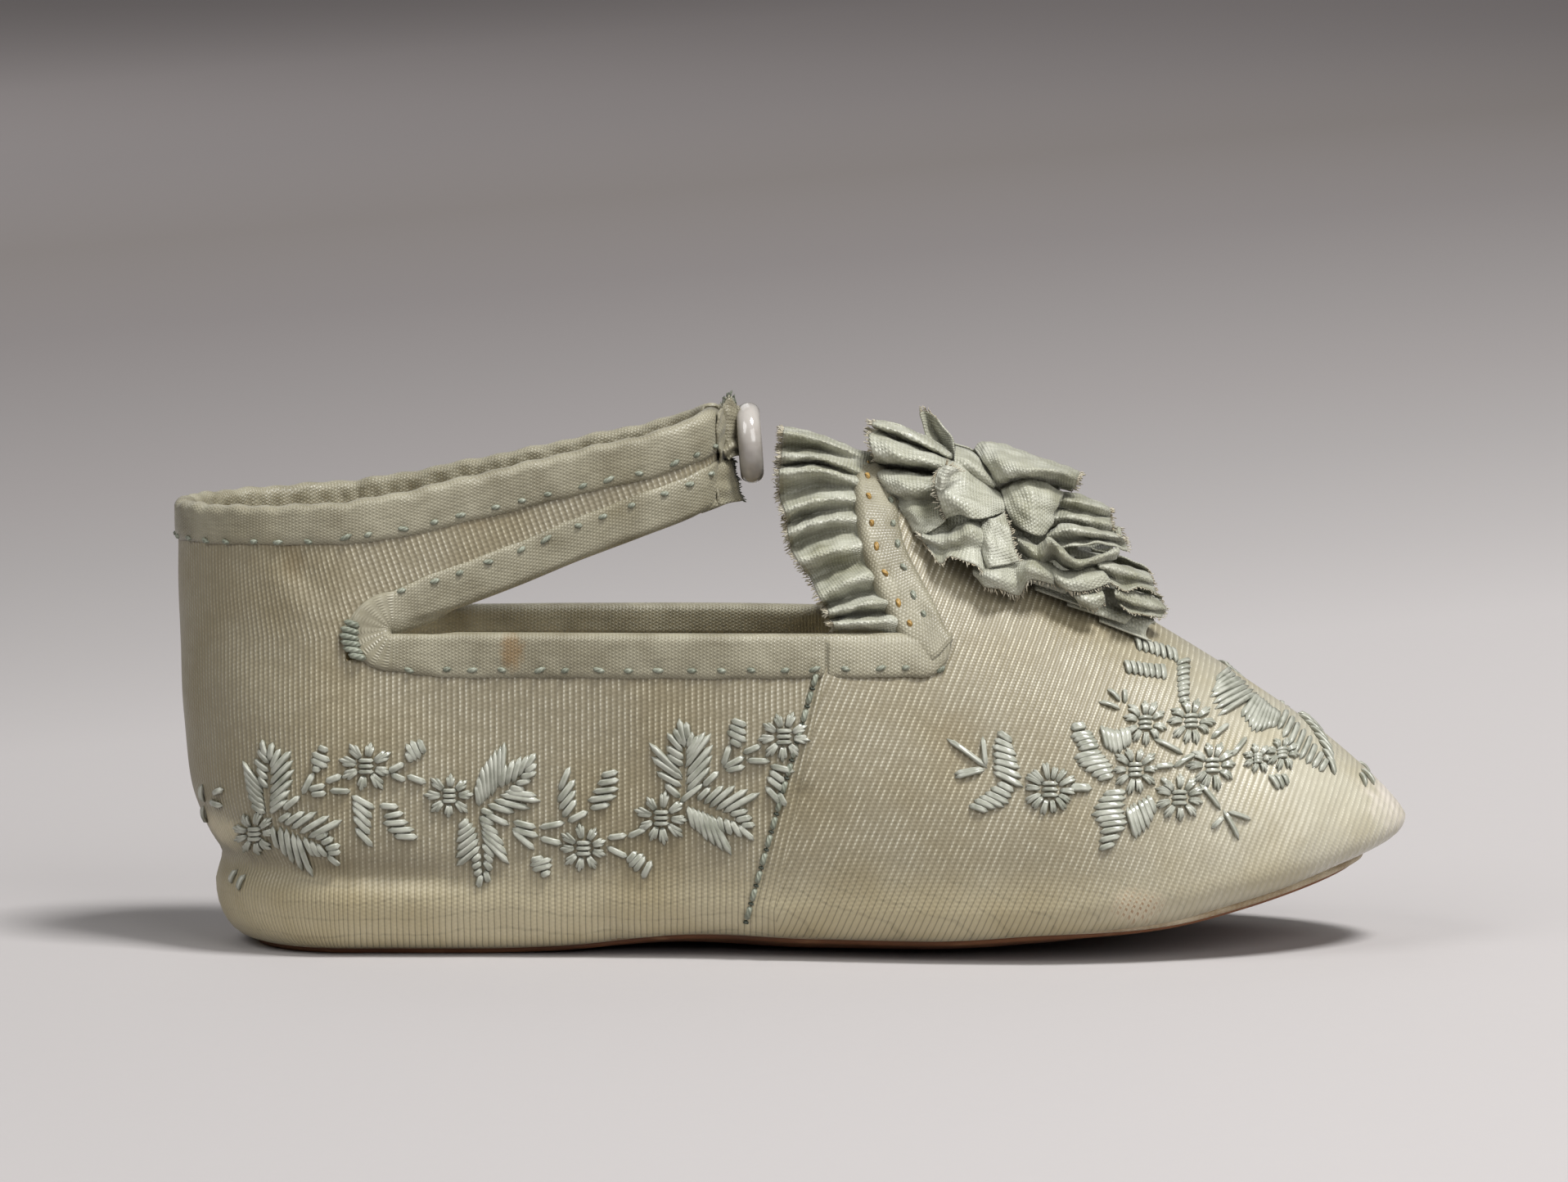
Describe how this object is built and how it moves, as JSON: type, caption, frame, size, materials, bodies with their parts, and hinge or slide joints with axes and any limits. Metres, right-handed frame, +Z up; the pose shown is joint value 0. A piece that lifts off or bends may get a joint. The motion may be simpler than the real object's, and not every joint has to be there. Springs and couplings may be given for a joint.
{
  "type": "infant's embroidered slipper",
  "caption": "Soft straight-lasted infant's slipper with a thin leather sole, ribbon-bound edges, buttoned ankle strap, pleated throat frill and ribbon rosette on the vamp.",
  "frame": {"origin": "on the floor under the middle of the slipper's bounding box", "axes": "+X towards the toe, +Y towards the slipper's left side, +Z up"},
  "size_m": [0.115, 0.0418, 0.0496],
  "materials": {
    "sole_leather": "worn brown leather",
    "linen": "aged linen",
    "silk": "ribbed silk, pale sage",
    "ribbon": "silk ribbon, pale sage",
    "china": "glossy white"
  },
  "bodies": {
    "root": {"outsole": "sole_leather", "insole": "linen", "upper": "silk", "top_binding": "ribbon", "slit_binding_right": "ribbon", "slit_binding_left": "ribbon", "throat_binding": "ribbon", "throat_frill": "ribbon", "rosette": "ribbon", "strap_end": "ribbon", "button": "china"}
  },
  "joints": []
}
